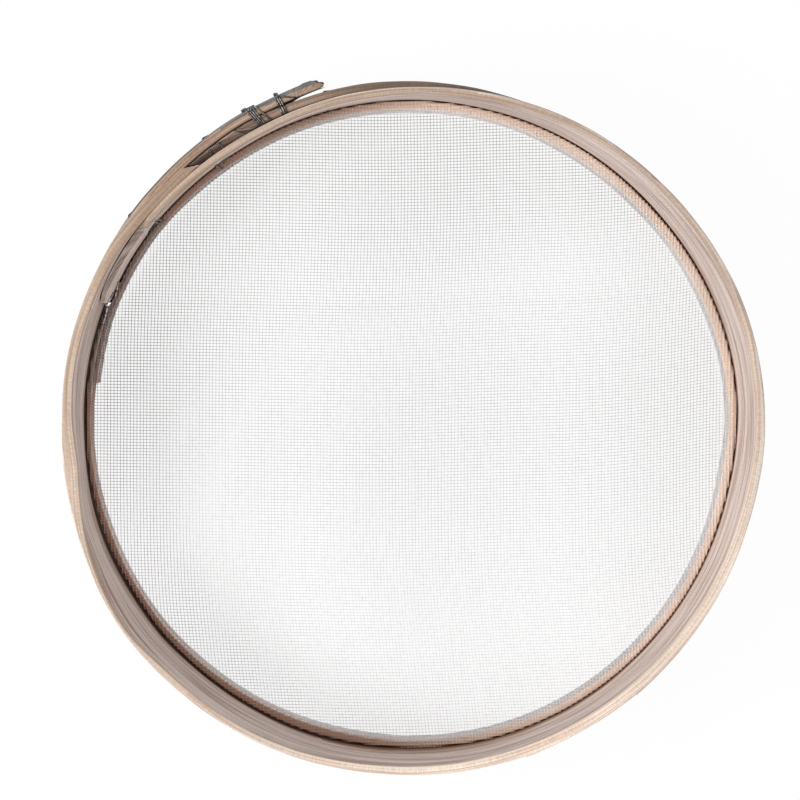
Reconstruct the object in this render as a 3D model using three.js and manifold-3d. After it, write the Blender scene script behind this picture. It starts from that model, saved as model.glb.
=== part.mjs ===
// Round bent-wood flour sieve: a tall wall hoop, a clamp band round its foot, a ring that
// stretches woven wire cloth inside it, and the wires that tie and stitch the hoops together.
// Millimetres, +Z up. The origin is on the hoops' axis, in the plane that the sieve stands on.
import * as THREE from 'three';
import { mergeVertices } from 'three/addons/utils/BufferGeometryUtils.js';
import Module from 'manifold-3d';

const wasm = await Module();
wasm.setup();

// Angles are in degrees. A strip is followed clockwise, seen from above, from its inner end:
// its turn is 0 there, 360 after one round, and a little more at its outer end.
const stepAngle = 3;

// Wall hoop: the tall strip, bent once round and lapped on itself
const wallInside = 135.2;
const wallThickness = 3.4;
const wallHeight = 58;
const wallStart = 158;
const wallLap = 29;
const wallTip = 1.8;
const wallBevel = 2.3;
const wallBevelTip = 0.5;

// Clamp band: the low strip that grips the foot of the wall from outside
const bandThickness = 3;
const bandBottom = 2;
const bandCover = 3;
const bandSetback = 0.5;
const bandLap = 23;
const bandShave = 9.5;
const bandTip = 2.5;
const bandTipHeight = 10;
const bandClose = 54;
const bandSpring = 2;

// Cloth ring: the strip under the wire cloth, pressed inside the foot of the wall
const ringThickness = 3;
const ringLead = 14.5;
const ringLap = 27;
const ringTip = 0.6;
const ringEnd = 1.6;
const ringTaper = 37.5;
const ringSettle = 6;

// Wire cloth: its flat field, shown as a coarse net, and the margin turned down round the ring
const clothLevel = 14;
const clothThickness = 0.6;
const clothMargin = 6;
const clothBorder = 3;
const clothDraw = 9;
const netPitch = 14.4;
const netBar = 1.3;

// Wires
const wireDiameter = 0.6;
const wireSides = 6;
const wireStep = 3.5;
const tieTurns = [4, 2];
const tieLead = 2;
const tieSpacing = 4.5;
const tieMargin = 4;
const tieSpace = 0.5;
const tieStub = 6;
const stitchSpan = 5;
const stitchRise = 5;
const stitchTailEnd = 2.4;
const stitchInset = 3;
const stitchBack = 13.7;
const stitchAfter = 3.2;
const stitchPast = 1.5;

// Clearances: between layers that lie on each other, and round a wire
const layerGap = 0.3;
const wireGap = 0.3;

const wireRadius = wireDiameter / 2;
const wireStandoff = wireGap + wireRadius;
const stitchLevel = clothLevel + stitchRise;
const bandTop = stitchLevel + bandCover;
const ringTop = clothLevel - clothThickness;
const ringStart = wallStart + ringLead;
const bandOffset = wallLap + bandSetback;
const bandStart = wallStart - bandOffset;
const tieRoom = wireDiameter + 2 * wireGap;
const tiePitch = wireDiameter + tieSpace;
const tiePlaces = tieTurns.map((turns, index) => bandShave + tieLead + index * tieSpacing);
const bandGrip = tiePlaces.at(-1) + tieMargin;

// Places of the stitches, as turns of the wall: at its inner end, near its outer end, and just
// past the inner and the outer end of the band
const stitchPlaces = [
  stitchInset,
  wallLap - stitchBack,
  bandOffset + stitchAfter,
  bandOffset + bandLap + stitchPast,
];

const wrap = (angle) => ((angle % 360) + 360) % 360;

// Value at a turn, on straight runs between [turn, value] pairs
function along(pairs, turn) {
  const index = pairs.findIndex(([end]) => turn <= end);
  if (index < 0) return pairs.at(-1)[1];
  if (index === 0) return pairs[0][1];
  const [from, low] = pairs[index - 1];
  const [to, high] = pairs[index];
  return THREE.MathUtils.lerp(low, high, (turn - from) / (to - from));
}

function polar(angle, radius, z) {
  const turn = THREE.MathUtils.degToRad(angle);
  return new THREE.Vector3(radius * Math.cos(turn), radius * Math.sin(turn), z);
}

// Wall hoop sections. Its shaved inner end lies inside its own outer end.
const wallInsides = [
  [0, wallInside],
  [wallLap, wallInside],
  [360, wallInside + wallTip + layerGap],
  [360 + wallLap, wallInside + wallThickness + layerGap],
];
const wallDepths = [
  [0, wallTip],
  [wallLap, wallThickness],
  [360 + wallLap - wallBevel, wallThickness],
  [360 + wallLap, wallBevelTip],
];

function wallSection(turn) {
  const inside = along(wallInsides, turn);
  return { inside, outside: inside + along(wallDepths, turn), bottom: 0, top: wallHeight };
}

// Outer face of the outermost wall layer, in a direction given as a turn of the wall
function wallFace(turn) {
  const place = wrap(turn);
  return along(wallInsides, place <= wallLap ? place + 360 : place) + wallThickness;
}

// Clamp band sections. It lies on the wall, over the step of the wall's lap and then over its
// own inner end, and leaves room there for the ties. Its outer end springs away.
const bandTurn = 360 + bandLap;
const bandSlack = [
  [0, tieRoom],
  [bandGrip, tieRoom],
  [bandClose, layerGap],
];
const bandDepths = [
  [0, bandTip],
  [bandShave, bandThickness],
];
const bandTops = [
  [0, bandBottom + bandTipHeight],
  [bandShave, bandTop],
];
const bandInner = (turn) => wallFace(turn + bandOffset) + along(bandSlack, turn);
const bandOver = (turn) => bandInner(turn) + bandThickness + layerGap;
const stepOff = 360 - bandSetback;
const bandInsides = [
  [stepOff, bandInner(stepOff)],
  [360 + bandShave, bandOver(bandShave)],
  [360 + bandGrip, bandOver(bandGrip)],
  [bandTurn, bandOver(bandLap) + bandSpring],
];

function bandSection(turn) {
  const inside = turn <= stepOff ? bandInner(turn) : along(bandInsides, turn);
  const outside = inside + along(bandDepths, turn);
  return { inside, outside, bottom: bandBottom, top: along(bandTops, turn) };
}

// Outside of the cloth's margin, in a direction given as a turn of the wall. It keeps clear of
// the wall's inner end by drawing in before it.
const clothSeats = [
  [0, wallInside - layerGap],
  [wallLap, wallInside - layerGap],
  [360 - clothDraw, along(wallInsides, 360 - clothDraw) - layerGap],
  [360 - stepAngle, wallInside - layerGap],
  [360, wallInside - layerGap],
];
const clothSeat = (turn) => along(clothSeats, wrap(turn));
const ringFace = (turn) => clothSeat(turn) - clothThickness - layerGap;

// Cloth ring sections. Its outer end is shaved to a feather that lies outside its inner end.
const ringDepths = [
  [0, ringEnd],
  [ringLap + ringSettle, ringThickness],
  [360 - ringTaper, ringThickness],
  [360, ringEnd],
  [360 + ringLap, ringTip],
];

function ringSection(turn) {
  const settled = [
    [ringLap, ringTip + layerGap],
    [ringLap + ringSettle, 0],
  ];
  const feather = along(ringDepths, turn + 360) + layerGap;
  const inset = turn < ringLap ? feather : along(settled, turn);
  const outside = ringFace(turn - ringLead) - inset;
  return { inside: outside - along(ringDepths, turn), outside, bottom: 0, top: ringTop };
}

// Solid strip through square sections, from one turn to the next; a closed one has no ends
function bentStrip(section, start, turns, closed = false) {
  const steps = Math.round(turns / stepAngle);
  const points = [];
  const faces = [];
  const quad = (a, b, c, d) => faces.push(a, c, b, a, d, c);
  for (let step = 0; step < (closed ? steps : steps + 1); step += 1) {
    const turn = (turns * step) / steps;
    const { inside, outside, bottom, top } = section(turn);
    const corners = [[inside, bottom], [outside, bottom], [outside, top], [inside, top]];
    corners.forEach(([radius, z]) => points.push(...polar(start - turn, radius, z).toArray()));
  }
  for (let step = 0; step < steps; step += 1) {
    const here = 4 * step;
    const there = closed ? (here + 4) % (4 * steps) : here + 4;
    for (let side = 0; side < 4; side += 1) {
      const next = (side + 1) % 4;
      quad(here + side, there + side, there + next, here + next);
    }
  }
  if (!closed) {
    quad(0, 1, 2, 3);
    quad(4 * steps + 3, 4 * steps + 2, 4 * steps + 1, 4 * steps);
  }
  const geometry = new THREE.BufferGeometry();
  geometry.setAttribute('position', new THREE.Float32BufferAttribute(points, 3));
  geometry.setIndex(faces);
  return geometry;
}

// Joins and cuts
function solid(geometry) {
  const bare = geometry.clone();
  bare.deleteAttribute('normal');
  bare.deleteAttribute('uv');
  const merged = mergeVertices(bare);
  const vertProperties = new Float32Array(merged.attributes.position.array);
  const triVerts = new Uint32Array(merged.index.array);
  return new wasm.Manifold(new wasm.Mesh({ numProp: 3, vertProperties, triVerts }));
}

function geometryOf(body) {
  const { vertProperties, triVerts } = body.getMesh();
  const geometry = new THREE.BufferGeometry();
  geometry.setAttribute('position', new THREE.BufferAttribute(vertProperties, 3));
  geometry.setIndex(new THREE.BufferAttribute(triVerts, 1));
  return geometry;
}

// Path through given points, with one section of the wire at each of them
class WirePath extends THREE.Curve {
  constructor(points) {
    super();
    this.points = points;
  }

  getPoint(share) {
    return this.points[Math.round(share * (this.points.length - 1))].clone();
  }

  getPointAt(share) {
    return this.getPoint(share);
  }

  getTangentAt(share) {
    const last = this.points.length - 1;
    const place = Math.round(share * last);
    const before = this.points[Math.max(place - 1, 0)];
    const after = this.points[Math.min(place + 1, last)];
    return after.clone().sub(before).normalize();
  }
}

// Corners rounded into short bends, and long runs divided
function bentWire(corners) {
  const bent = [corners[0]];
  corners.slice(1, -1).forEach((corner, index) => {
    const into = corners[index].clone().sub(corner).setLength(wireStandoff).add(corner);
    const out = corners[index + 2].clone().sub(corner).setLength(wireStandoff).add(corner);
    const middle = into.clone().add(out).multiplyScalar(0.25).addScaledVector(corner, 0.5);
    bent.push(into, middle, out);
  });
  bent.push(corners.at(-1));
  const path = [bent[0]];
  bent.slice(1).forEach((point, index) => {
    const parts = Math.ceil(point.distanceTo(bent[index]) / wireStep);
    for (let part = 1; part <= parts; part += 1) {
      path.push(bent[index].clone().lerp(point, part / parts));
    }
  });
  return path;
}

function wire(path) {
  const section = new THREE.Shape();
  for (let side = 0; side < wireSides; side += 1) {
    const corner = polar((360 * side) / wireSides, wireRadius, 0);
    if (side === 0) section.moveTo(corner.x, corner.y);
    else section.lineTo(corner.x, corner.y);
  }
  const options = { steps: path.length - 1, bevelEnabled: false, extrudePath: new WirePath(path) };
  return new THREE.ExtrudeGeometry(section, options);
}

// Least clear distance of a winding to its own other turns
function selfGap(path) {
  let least = Infinity;
  const reach = Math.round((bandTop - bandBottom) / wireStep);
  path.forEach((point, index) => {
    path.slice(index + reach).forEach((other) => {
      least = Math.min(least, point.distanceTo(other) - wireDiameter);
    });
  });
  return least;
}

// Point in the upright frame at a place on the hoops: out along it, across it, and up
function placed(angle, out, across, z) {
  const outward = polar(angle, 1, 0);
  const clockwise = polar(angle - 90, 1, 0);
  return outward.multiplyScalar(out).addScaledVector(clockwise, across).setZ(z);
}

// Tie: wire wound round both layers of the band's lap, from low on its outer face
function tiePath(place, turns) {
  const angle = bandStart - place;
  const inner = bandSection(place).inside - wireStandoff;
  const outer = bandSection(360 + place).outside + wireStandoff;
  const low = bandBottom - wireStandoff;
  const high = bandTop + wireStandoff;
  const width = turns * tiePitch;
  const corners = [placed(angle, outer, -width / 2, bandBottom + tieStub)];
  for (let turn = 0; turn < turns; turn += 1) {
    const across = (share) => (turn + share) * tiePitch - width / 2;
    corners.push(placed(angle, outer, across(0), high));
    corners.push(placed(angle, inner, across(0.25), high));
    corners.push(placed(angle, inner, across(0.5), low));
    corners.push(placed(angle, outer, across(0.75), low));
  }
  corners.push(placed(angle, outer, width / 2, bandTop - tieStub));
  return bentWire(corners);
}

// Stitch: wire staple put in from outside, through band and wall, its tails bent down inside
const stitchTailLevel = clothLevel + stitchTailEnd;
const stitchAngle = (place) => wallStart - place;

function stitchFaces(place) {
  const turn = place - bandOffset;
  const outerTurn = turn <= bandLap ? turn + 360 : turn;
  const outer = bandSection(outerTurn).outside + wireStandoff;
  return { inner: wallSection(place).inside - wireStandoff, outer };
}

function stitchPath(place) {
  const angle = stitchAngle(place);
  const { inner, outer } = stitchFaces(place);
  const side = stitchSpan / 2;
  return bentWire([
    placed(angle, inner, -side, stitchTailLevel),
    placed(angle, inner, -side, stitchLevel),
    placed(angle, outer, -side, stitchLevel),
    placed(angle, outer, side, stitchLevel),
    placed(angle, inner, side, stitchLevel),
    placed(angle, inner, side, stitchTailLevel),
  ]);
}

// The two drilled holes that the legs of a stitch pass through
function stitchHoles(place) {
  const angle = stitchAngle(place);
  const { inner, outer } = stitchFaces(place);
  return [-stitchSpan / 2, stitchSpan / 2].map((across) => {
    const hole = new THREE.CylinderGeometry(wireStandoff, wireStandoff, outer - inner, 12);
    const middle = placed(angle, (inner + outer) / 2, across, stitchLevel);
    hole.rotateZ(THREE.MathUtils.degToRad(angle - 90));
    hole.translate(middle.x, middle.y, middle.z);
    return solid(hole);
  });
}

function drilled(geometry) {
  const holes = stitchPlaces.flatMap(stitchHoles);
  return geometryOf(holes.reduce((body, hole) => body.subtract(hole), solid(geometry)));
}

// Flat field of the cloth: crossing bars inside a plain border that lies on the ring
function clothField() {
  const border = (turn) => {
    const outside = clothSeat(turn);
    return { inside: outside - clothBorder, outside, bottom: ringTop, top: clothLevel };
  };
  const outline = [];
  for (let turn = 0; turn < 360; turn += stepAngle) {
    outline.push(polar(wallStart - turn, clothSeat(turn) - clothBorder / 2, 0));
  }
  const depth = { depth: clothThickness, bevelEnabled: false };
  const disc = new THREE.ExtrudeGeometry(new THREE.Shape(outline), depth).translate(0, 0, ringTop);
  const reach = 2 * wallInside;
  const middle = (ringTop + clothLevel) / 2;
  const side = Math.floor((wallInside - clothBorder) / netPitch - 0.5);
  const bars = [];
  for (let index = -side; index <= side; index += 1) {
    const upright = new THREE.BoxGeometry(netBar, reach, clothThickness);
    const level = new THREE.BoxGeometry(reach, netBar, clothThickness);
    bars.push(solid(upright.translate(index * netPitch, 0, middle)));
    bars.push(solid(level.translate(0, index * netPitch, middle)));
  }
  const net = bars.reduce((joined, bar) => joined.add(bar)).intersect(solid(disc));
  return geometryOf(net.add(solid(bentStrip(border, wallStart, 360, true))));
}

function clothTurnedMargin() {
  const section = (turn) => {
    const outside = clothSeat(turn);
    return { inside: outside - clothThickness, outside, bottom: ringTop - clothMargin, top: ringTop };
  };
  return bentStrip(section, wallStart, 360, true);
}

// Materials and pieces
const finishes = {
  wall: { color: 0xd2b48f, roughness: 0.75, metalness: 0 },
  band: { color: 0xb8956c, roughness: 0.8, metalness: 0 },
  ring: { color: 0xa98467, roughness: 0.8, metalness: 0 },
  cloth: { color: 0xb4b7ba, roughness: 0.4, metalness: 0.9 },
  wire: { color: 0x6d6a69, roughness: 0.5, metalness: 0.8 },
};
const sieve = new THREE.Group();

function addPiece(name, geometry, finish) {
  geometry.computeVertexNormals();
  const piece = new THREE.Mesh(geometry, new THREE.MeshStandardMaterial(finishes[finish]));
  piece.name = name;
  sieve.add(piece);
}

addPiece('wall_hoop', drilled(bentStrip(wallSection, wallStart, 360 + wallLap)), 'wall');
addPiece('clamp_band', drilled(bentStrip(bandSection, bandStart, bandTurn)), 'band');
addPiece('cloth_ring', bentStrip(ringSection, ringStart, 360 + ringLap), 'ring');
addPiece('wire_cloth', clothField(), 'cloth');
addPiece('cloth_margin', clothTurnedMargin(), 'cloth');
tiePlaces.forEach((place, index) => {
  const path = tiePath(place, tieTurns[index]);
  console.log(`band_tie_${index + 1}: least gap to itself ${selfGap(path).toFixed(2)} mm`);
  addPiece(`band_tie_${index + 1}`, wire(path), 'wire');
});
stitchPlaces.forEach((place, index) => {
  addPiece(`band_stitch_${index + 1}`, wire(stitchPath(place)), 'wire');
});

export default sieve;
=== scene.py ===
# %% [markdown]
# # A bent-wood flour sieve
#
# Three strips of split wood are steamed, bent into hoops and pressed into each other: a tall wall, a
# low band that clamps its foot from outside, and a ring inside it that stretches the woven wire cloth.
# Binding wire holds the laps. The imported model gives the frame: every piece below is made in metres, in
# that frame, and all but a few loose fibres stand for a solid of the part.

# %% Load the frame
import math

import bpy
import numpy as np
from mathutils import Matrix, Vector


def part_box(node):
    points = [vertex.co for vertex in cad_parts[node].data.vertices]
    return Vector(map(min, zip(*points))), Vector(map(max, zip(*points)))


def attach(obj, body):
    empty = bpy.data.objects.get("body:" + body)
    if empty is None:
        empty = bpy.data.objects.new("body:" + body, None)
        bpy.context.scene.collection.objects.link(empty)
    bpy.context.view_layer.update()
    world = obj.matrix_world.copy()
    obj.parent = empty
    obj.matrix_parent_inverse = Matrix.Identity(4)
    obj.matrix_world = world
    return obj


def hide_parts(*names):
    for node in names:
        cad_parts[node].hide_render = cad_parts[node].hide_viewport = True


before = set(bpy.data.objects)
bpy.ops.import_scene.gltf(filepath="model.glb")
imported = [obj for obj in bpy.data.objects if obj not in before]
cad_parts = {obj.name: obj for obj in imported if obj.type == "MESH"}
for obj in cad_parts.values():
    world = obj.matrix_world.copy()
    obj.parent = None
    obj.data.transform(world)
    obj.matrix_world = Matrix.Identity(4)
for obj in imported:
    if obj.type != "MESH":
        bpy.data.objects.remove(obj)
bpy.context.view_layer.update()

MM = 0.001
print("solids:", sorted(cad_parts))

# %% [markdown]
# ## The camera
#
# The picture looks straight down into the bowl from about a metre, leaning only a few degrees. The lean
# is why more of the inner wall shows at the lower right than at the upper left. A camera placed over one
# point and aimed at another gives that lean without any shift of the lens.

# %% Camera
wall_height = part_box("wall_hoop")[1].z
camera_height = 1030 * MM
camera_foot = Vector((-17 * MM, 58 * MM))
aim_foot = Vector((-5.6 * MM, 12.25 * MM))
camera_lens = 115.7
camera_sensor = 36.0

scene = bpy.context.scene
scene.view_settings.view_transform = "Standard"
camera_data = bpy.data.cameras.new("overhead_camera")
camera_data.lens = camera_lens
camera_data.sensor_width = camera_sensor
camera = bpy.data.objects.new("overhead_camera", camera_data)
scene.collection.objects.link(camera)
camera.location = (*camera_foot, wall_height + camera_height)
sight = Vector((*aim_foot, wall_height)) - camera.location
camera_right = Vector((0, 1, 0)).cross(-sight).normalized()
camera_up = (-sight).cross(camera_right).normalized()
axes = Matrix((camera_right, camera_up, -sight.normalized())).transposed()
camera.rotation_euler = axes.to_euler()
scene.camera = camera
print(f"camera {camera.location.z:.3f} m up, leaning {math.degrees(sight.angle((0, 0, -1))):.1f} degrees")

# %% [markdown]
# ## How a strip is described
#
# A bent strip is easiest to describe by how far along it one has gone. Its turn is 0 degrees at the inner
# end, 360 after one round and a little more at the outer end, because the strip laps on itself. Sizes
# that change along the strip are written as (turn, millimetres) pairs, and shares as (turn, share) pairs
# with a unit of 1. `runs` joins them with straight runs, `eased` with a smooth curve that never swings
# past its points.


# %% Values along a strip
def runs(pairs, unit=MM):
    turns, sizes = np.array(pairs, float).T
    return lambda turn: float(np.interp(turn, turns, sizes)) * unit


def eased(pairs, unit=MM):
    turns, sizes = np.array(pairs, float).T
    steps = np.diff(sizes) / np.diff(turns)
    slopes = np.zeros(len(turns))
    for k in range(1, len(steps)):
        before, after = steps[k - 1], steps[k]
        if before * after > 0:
            slopes[k] = 2 * before * after / (before + after)

    def size(turn):
        turn = min(max(turn, turns[0]), turns[-1])
        place = min(int(np.searchsorted(turns, turn, side="right")) - 1, len(turns) - 2)
        span = turns[place + 1] - turns[place]
        s = (turn - turns[place]) / span
        rise = (3 - 2 * s) * s * s
        ends = sizes[place] * (1 - rise) + sizes[place + 1] * rise
        bends = slopes[place] * s * (1 - s) ** 2 - slopes[place + 1] * s * s * (1 - s)
        return float(ends + bends * span) * unit

    return size


def clipped_share(value, low, high):
    return min(max((value - low) / (high - low), 0), 1)


def smooth_share(value, low, high):
    share = clipped_share(value, low, high)
    return share * share * (3 - 2 * share)


# Waves in a round, how they shift with the height, their phase and their weight
shaving_waves = ((7, 40, 0.0, 1.0), (17, -65, 1.3, 0.6), (41, 90, 0.4, 0.4))


def unevenness(turn, level, size):
    """Slow unevenness of a hand-shaved face, the same on every run."""
    a = math.radians(turn)
    waves = (weight * math.sin(n * a + shift * level + phase) for n, shift, phase, weight in shaving_waves)
    return size * sum(waves) / 2


def polar(angle, radius, z):
    a = math.radians(angle)
    return (radius * math.cos(a), radius * math.sin(a), z)


print("a quarter of the way from 0 to 2 mm, eased:", eased([(0, 0), (360, 2)])(90))

# %% [markdown]
# ## From sections to a strip
#
# A plain curve with a bevel can't change its thickness, its height and its corners along the way, so each
# strip is skinned over sections instead: every fraction of a degree one closed outline, up the inner face,
# over the upper edge, down the outer face and back under the lower edge. A UV map runs along and across
# the strip in metres, so that grain follows the bend. Point attributes hold what the finishes need to
# know: the distance from the line where the sawn edge meets the face, where a knife has shaved the wood or
# the ring's face takes painted shade, how far the edge darkens, and the painted light and shade along it.


# %% One section
edge_rows = 6
rows_below_knee, rows_above_knee = 9, 6
knee_gap = 0.3 * MM
corner_bends = [math.radians(a) for a in (30, 60)]
corner_most = 0.45


def section_outline(inside_at, outside_at, bottom, top, corner, knee=None):
    """Points (radius, z, above) round a section. `above` is the way up past the inner upper corner,
    and `knee` a level at which the inner face may bend."""
    inner_top, outer_top = inside_at(top), outside_at(top)
    inner_low, outer_low = inside_at(bottom), outside_at(bottom)
    corner = min(corner, corner_most * (outer_top - inner_top))
    knee = (bottom + top) / 2 if knee is None else knee
    levels = [
        *np.linspace(bottom + corner, knee - knee_gap, rows_below_knee),
        *np.linspace(knee + knee_gap, top - corner, rows_above_knee),
    ]

    def rounded(radius, outwards, level, upwards, above, bends):
        steps = [(corner * (1 - math.cos(a)), corner * (1 - math.sin(a))) for a in bends]
        return [(radius + outwards * step, level + upwards * rise, above) for step, rise in steps]

    outline = [(inside_at(z), z, z - top) for z in levels]
    outline += rounded(inner_top, 1, top, -1, 0.0, corner_bends)
    across = np.linspace(inner_top + corner, outer_top - corner, edge_rows)
    outline += [(r, top, r - inner_top) for r in across]
    outline += rounded(outer_top, -1, top, -1, 0.5 * corner, corner_bends[::-1])
    outline += [(outside_at(z), z, z - top) for z in reversed(levels)]
    outline += rounded(outer_low, -1, bottom, 1, 0.0, corner_bends)
    across = np.linspace(outer_low - corner, inner_low + corner, edge_rows)
    outline += [(r, bottom, outer_low - r) for r in across]
    return outline + rounded(inner_low, 1, bottom, 1, 0.0, corner_bends[::-1])


trial = section_outline(lambda z: 0.0, lambda z: 3 * MM, 0.0, 20 * MM, 0.4 * MM)
print("points round a section:", len(trial))

# %% Skin a strip
section_step = 0.75
fine_step = 0.15
crease = math.radians(50)


def strip_turns(last, *fine_runs):
    """Turns of the sections: every fraction of a degree, and closer where the strip changes quickly."""
    turns = [np.linspace(0, last, round(last / section_step) + 1)]
    turns += [np.arange(first, end, fine_step) for first, end in fine_runs]
    turns = np.unique(np.round(np.concatenate(turns), 2))
    return turns[turns <= last]


def skin_strip(name, start, turns, section, looks, shift=None):
    """`section` gives points (radius, z, above, shaved) at a turn, `looks` a function of the turn for
    each further attribute, and `shift` moves a point along the strip, for ends that aren't square."""
    outlines = [section(turn) for turn in turns]
    count = len(outlines[0])
    points = []
    spans = []
    for turn, outline in zip(turns, outlines):
        for row, point in enumerate(outline):
            place = turn if shift is None else turn + shift(turn, row, point)
            points.append(polar(start - place, point[0], point[1]))
        flat = np.array([point[:2] for point in outline])
        lengths = np.linalg.norm(np.roll(flat, -1, axis=0) - flat, axis=1)
        spans.append(np.concatenate([[0], np.cumsum(lengths)]))
    mean_radius = np.mean([point[0] for point in outlines[0]])
    gone = [math.radians(turn) * mean_radius for turn in turns]
    faces = []
    uvs = []
    for step in range(len(turns) - 1):
        here, there = step * count, (step + 1) * count
        for row in range(count):
            after = (row + 1) % count
            faces.append((here + row, there + row, there + after, here + after))
            uvs += [(gone[step], spans[step][row]), (gone[step + 1], spans[step + 1][row])]
            uvs += [(gone[step + 1], spans[step + 1][row + 1]), (gone[step], spans[step][row + 1])]
    last = (len(turns) - 1) * count
    faces.append(tuple(range(count)))
    uvs += [point[:2] for point in outlines[0]]
    faces.append(tuple(range(last + count - 1, last - 1, -1)))
    uvs += [point[:2] for point in reversed(outlines[-1])]
    mesh = bpy.data.meshes.new(name)
    mesh.from_pydata(points, [], faces)
    mesh.uv_layers.new(name="grain").data.foreach_set("uv", np.array(uvs, np.float32).ravel())
    layers = {
        "above_edge": [point[2] / MM for outline in outlines for point in outline],
        "shaved": [point[3] for outline in outlines for point in outline],
    }
    for title, look in looks.items():
        layers[title] = np.repeat([look(turn) for turn in turns], count).tolist()
    for title, values in layers.items():
        mesh.attributes.new(title, "FLOAT", "POINT").data.foreach_set("value", values)
    mesh.validate()
    mesh.shade_smooth()
    mesh.set_sharp_from_angle(angle=crease)
    return mesh


def add_piece(name, mesh, slot, *stands_for):
    piece = bpy.data.objects.new(name, mesh)
    scene.collection.objects.link(piece)
    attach(piece, "root")
    if stands_for:
        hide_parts(*stands_for)
    print(f"{name}: {len(mesh.polygons)} faces")


print("sections in a plain round:", len(strip_turns(360)))

# %% [markdown]
# ## Building node trees
#
# Materials, node groups and Geometry Nodes are all trees of nodes. Clicking them together is quick, but
# writing them down keeps them readable and repeatable, so a few helpers add a node, set or link its inputs
# by name, and return the output that the next node needs.


# %% Node helpers
def fill_inputs(tree, made, inputs):
    """Link the inputs that are given as sockets, and set the others."""
    for key, value in inputs.items():
        if isinstance(value, bpy.types.NodeSocket):
            tree.links.new(value, made.inputs[key])
        else:
            made.inputs[key].default_value = value


def put(tree, kind, inputs=None, **settings):
    made = tree.nodes.new(kind)
    for key, value in settings.items():
        setattr(made, key, value)
    fill_inputs(tree, made, inputs or {})
    return made


def reckon(tree, operation, *values):
    """A Math node; returns its output."""
    return put(tree, "ShaderNodeMath", dict(enumerate(values)), operation=operation).outputs[0]


def spread(tree, value, low, high, to_low=0.0, to_high=1.0, kind="SMOOTHSTEP"):
    inputs = {"Value": value, "From Min": low, "From Max": high, "To Min": to_low, "To Max": to_high}
    return put(tree, "ShaderNodeMapRange", inputs, interpolation_type=kind).outputs["Result"]


def object_place(tree):
    return put(tree, "ShaderNodeTexCoord").outputs["Object"]


def parts_of(tree, vector):
    return put(tree, "ShaderNodeSeparateXYZ", {0: vector}).outputs


def new_group(title, kind, inputs, outputs):
    """A node group with named sockets; returns it, what it is given and its output node."""
    tree = bpy.data.node_groups.new(title, kind)
    for way, sockets in (("INPUT", inputs), ("OUTPUT", outputs)):
        for name, socket in sockets.items():
            tree.interface.new_socket(name, in_out=way, socket_type="NodeSocket" + socket)
    return tree, tree.nodes.new("NodeGroupInput").outputs, tree.nodes.new("NodeGroupOutput")


def new_finish(name):
    material = bpy.data.materials.new(name)
    material.use_nodes = True
    return material, material.node_tree, material.node_tree.nodes["Principled BSDF"]


print("helpers for nodes:", put.__name__, reckon.__name__, spread.__name__, new_group.__name__)


# %% Colour helpers
def srgb(*levels):
    linear = [((v / 255 + 0.055) / 1.055) ** 2.4 for v in levels]
    return (*linear, 1.0)


def blend_colours(tree, share, first, second, kind="MIX"):
    """A share above 1 goes on past the second colour, and one below 0 away from it."""
    made = put(tree, "ShaderNodeMix", data_type="RGBA", blend_type=kind, clamp_factor=False)
    fill_inputs(tree, made, {0: share, 6: first, 7: second})
    return made.outputs[2]


def dimmed(tree, colour, share):
    grey = put(tree, "ShaderNodeCombineColor", {0: share, 1: share, 2: share}).outputs[0]
    return blend_colours(tree, 1.0, colour, grey, "MULTIPLY")


def mixed(tree, first, share, second):
    """A share of one mask and the rest of another."""
    return reckon(tree, "MULTIPLY_ADD", first, share, reckon(tree, "MULTIPLY", second, 1 - share))


def noise(tree, x, y, z, detail, roughness=0.5):
    place = put(tree, "ShaderNodeCombineXYZ", {0: x, 1: y, 2: z}).outputs[0]
    inputs = {"Vector": place, "Scale": 1.0, "Detail": detail, "Roughness": roughness}
    return put(tree, "ShaderNodeTexNoise", inputs).outputs["Fac"]


print("linear middle grey:", srgb(128, 128, 128))

# %% [markdown]
# ## Finishes: wood
#
# Split wood shows long lines along the strip, fine ticks across them where rays were cut, and slow
# patches of weather. An image texture would need a photograph of just this wood, so one node group makes
# these three masks from the strip's own UV map instead. Each wood uses it four times, for broad, middle
# and fine grain and for short cracks. The material then colours the face, the sawn edge and the places
# that a knife has shaved; on the ring these shaved colours are painted shade at the lap. The strip's
# attributes say how far the edge darkens, where painted light and shade lighten or darken the face, and
# how high a painted brown shade reaches up the wall's foot above the cloth.


# %% Split-wood group
grain_detail, grain_roughness = 4, 0.62
tick_lanes = 400
# Noise cells in a metre, along and across the strip
drift_cells = (9, 25)
patch_cells = (22, 70)
second_seed = 11


def split_wood_group():
    sizes = ("Line spacing", "Line length", "Wander", "Tick spacing", "Seed")
    inputs = {"Strip": "Vector", **dict.fromkeys(sizes, "Float")}
    outputs = dict.fromkeys(("Lines", "Ticks", "Patches"), "Float")
    tree, given, result = new_group("split_wood", "ShaderNodeTree", inputs, outputs)
    along, across, _ = parts_of(tree, given["Strip"])
    seed = given["Seed"]
    other = reckon(tree, "ADD", seed, second_seed)

    def slow_noise(cells, depth, detail):
        x = reckon(tree, "MULTIPLY", along, cells[0])
        return noise(tree, x, reckon(tree, "MULTIPLY", across, cells[1]), depth, detail)

    drift = reckon(tree, "SUBTRACT", slow_noise(drift_cells, seed, 2), 0.5)
    drift = reckon(tree, "MULTIPLY", drift, given["Wander"])
    lane = reckon(tree, "DIVIDE", reckon(tree, "ADD", across, drift), given["Line spacing"])
    hops = reckon(tree, "DIVIDE", along, given["Line length"])
    lines = noise(tree, hops, lane, other, grain_detail, grain_roughness)
    hops = reckon(tree, "DIVIDE", along, given["Tick spacing"])
    ticks = noise(tree, hops, reckon(tree, "MULTIPLY", across, tick_lanes), other, 2)
    patches = slow_noise(patch_cells, other, 3)
    fill_inputs(tree, result, {"Lines": lines, "Ticks": ticks, "Patches": patches})
    return tree


split_wood = split_wood_group()
print("split_wood group:", len(split_wood.nodes), "nodes")
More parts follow.
